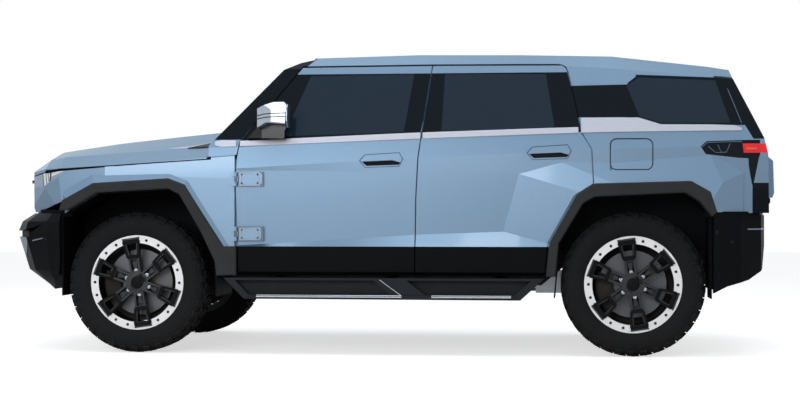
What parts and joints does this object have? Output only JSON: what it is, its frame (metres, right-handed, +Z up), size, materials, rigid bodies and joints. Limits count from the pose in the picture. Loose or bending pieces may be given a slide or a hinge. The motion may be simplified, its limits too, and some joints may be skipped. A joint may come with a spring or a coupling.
{
  "type": "sport utility vehicle",
  "caption": "Off-road sport utility vehicle with opening doors, bonnet, tailgate and fuel flap, steered front wheels and free-rolling wheels on a ladder frame.",
  "frame": {"origin": "on the ground, midway between the axles, on the centre plane (bottom centre of the bounding box)", "axes": "+X forward, +Y to the vehicle's left, +Z up"},
  "size_m": [4.7459, 2.24, 1.8399],
  "materials": {
    "paint": "metallic light steel-blue paint with clear coat",
    "black_metal": "satin black chassis coating",
    "grey_plastic": "grained dark grey moulding",
    "interior": "soft-touch black interior moulding",
    "glass": "dark tinted safety glass",
    "lamp_clear": "clear lamp lens",
    "gloss_black": "gloss black lamp housing",
    "skid": "satin silver-blue metal",
    "lamp_red": "dark red lamp lens",
    "tyre": "all-terrain tyre rubber",
    "wheel": "black cast alloy with machined ring",
    "steel": "bright steel",
    "iron": "bare castings",
    "fabric": "black upholstery",
    "mirror_shell": "bright plated shell over blue paint"
  },
  "bodies": {
    "body": {"frame_rails": "black_metal", "cross_members": "black_metal", "floor_pan": "black_metal", "powertrain": "iron", "fuel_tank": "grey_plastic", "exhaust": "steel", "suspension": "black_metal", "body_side_left": "paint", "body_side_right": "paint", "roof": "paint", "cowl": "paint", "front_fenders": "paint", "grille_panel": "grey_plastic", "fixed_glass": "glass", "front_bumper": "grey_plastic", "rear_bumper": "grey_plastic", "arch_flares": "grey_plastic", "headlamps": "lamp_clear", "tail_lamps": "gloss_black", "side_steps": "grey_plastic", "dashboard": "interior", "arch_liners": "grey_plastic", "skid_plate": "skid", "tail_lamp_lenses": "lamp_red", "tow_receiver": "black_metal", "front_seats": "fabric", "rear_bench": "fabric"},
    "bonnet": {"bonnet": "paint"},
    "tailgate": {"tailgate": "paint", "tailgate_glass": "glass"},
    "fuel_flap": {"fuel_flap": "paint"},
    "steering_wheel": {"steering_wheel": "interior"},
    "door_front_left": {"door_front_left": "paint", "glass_front_left": "glass", "mirror_left": "mirror_shell", "hinges_left": "steel"},
    "door_front_right": {"door_front_right": "paint", "glass_front_right": "glass", "mirror_right": "mirror_shell", "hinges_right": "steel"},
    "door_rear_left": {"door_rear_left": "paint", "glass_rear_left": "glass"},
    "door_rear_right": {"door_rear_right": "paint", "glass_rear_right": "glass"},
    "knuckle_left": {"knuckle_left": "iron"},
    "knuckle_right": {"knuckle_right": "iron"},
    "wheel_front_left": {"wheel_front_left": "wheel", "tyre_front_left": "tyre"},
    "wheel_front_right": {"wheel_front_right": "wheel", "tyre_front_right": "tyre"},
    "wheel_rear_left": {"wheel_rear_left": "wheel", "tyre_rear_left": "tyre"},
    "wheel_rear_right": {"wheel_rear_right": "wheel", "tyre_rear_right": "tyre"}
  },
  "joints": [
    {"name": "roll_front_left", "type": "hinge", "parent": "knuckle_left", "child": "wheel_front_left", "pos_m": [1.5, 0.825, 0.428], "axis": [0, 1, 0], "continuous": true},
    {"name": "roll_front_right", "type": "hinge", "parent": "knuckle_right", "child": "wheel_front_right", "pos_m": [1.5, -0.825, 0.428], "axis": [0, 1, 0], "continuous": true},
    {"name": "roll_rear_left", "type": "hinge", "parent": "body", "child": "wheel_rear_left", "pos_m": [-1.5, 0.825, 0.428], "axis": [0, 1, 0], "continuous": true},
    {"name": "roll_rear_right", "type": "hinge", "parent": "body", "child": "wheel_rear_right", "pos_m": [-1.5, -0.825, 0.428], "axis": [0, 1, 0], "continuous": true},
    {"name": "steer_left", "type": "hinge", "parent": "body", "child": "knuckle_left", "pos_m": [1.5, 0.78, 0.428], "axis": [0, 0, 1], "range_deg": [-33, 33]},
    {"name": "steer_right", "type": "hinge", "parent": "body", "child": "knuckle_right", "pos_m": [1.5, -0.78, 0.428], "axis": [0, 0, 1], "range_deg": [-33, 33]},
    {"name": "steering_wheel_turn", "type": "hinge", "parent": "body", "child": "steering_wheel", "pos_m": [0.68, 0.38, 1.115], "axis": [-0.9063, 0, 0.4226], "range_deg": [-530, 530]},
    {"name": "door_front_left_open", "type": "hinge", "parent": "body", "child": "door_front_left", "pos_m": [0.882, 0.968, 0.9], "axis": [0, 0, -1], "range_deg": [0, 68]},
    {"name": "door_front_right_open", "type": "hinge", "parent": "body", "child": "door_front_right", "pos_m": [0.882, -0.968, 0.9], "axis": [0, 0, 1], "range_deg": [0, 68]},
    {"name": "door_rear_left_open", "type": "hinge", "parent": "body", "child": "door_rear_left", "pos_m": [-0.2515, 0.946, 0.9], "axis": [0, 0, -1], "range_deg": [0, 68]},
    {"name": "door_rear_right_open", "type": "hinge", "parent": "body", "child": "door_rear_right", "pos_m": [-0.2515, -0.946, 0.9], "axis": [0, 0, 1], "range_deg": [0, 68]},
    {"name": "bonnet_open", "type": "hinge", "parent": "body", "child": "bonnet", "pos_m": [1.052, 0, 1.352], "axis": [0, -1, 0], "range_deg": [0, 50]},
    {"name": "tailgate_open", "type": "hinge", "parent": "body", "child": "tailgate", "pos_m": [-2.088, 0, 1.68], "axis": [0, 1, 0], "range_deg": [0, 78]},
    {"name": "fuel_flap_open", "type": "hinge", "parent": "body", "child": "fuel_flap", "pos_m": [-1.378, 0.9465, 1.2], "axis": [0, 0, -1], "range_deg": [0, 95]}
  ],
  "couplings": [
    {"joint": "steer_right", "follows": "steer_left", "ratio": 1},
    {"joint": "steering_wheel_turn", "follows": "steer_left", "ratio": 15}
  ]
}
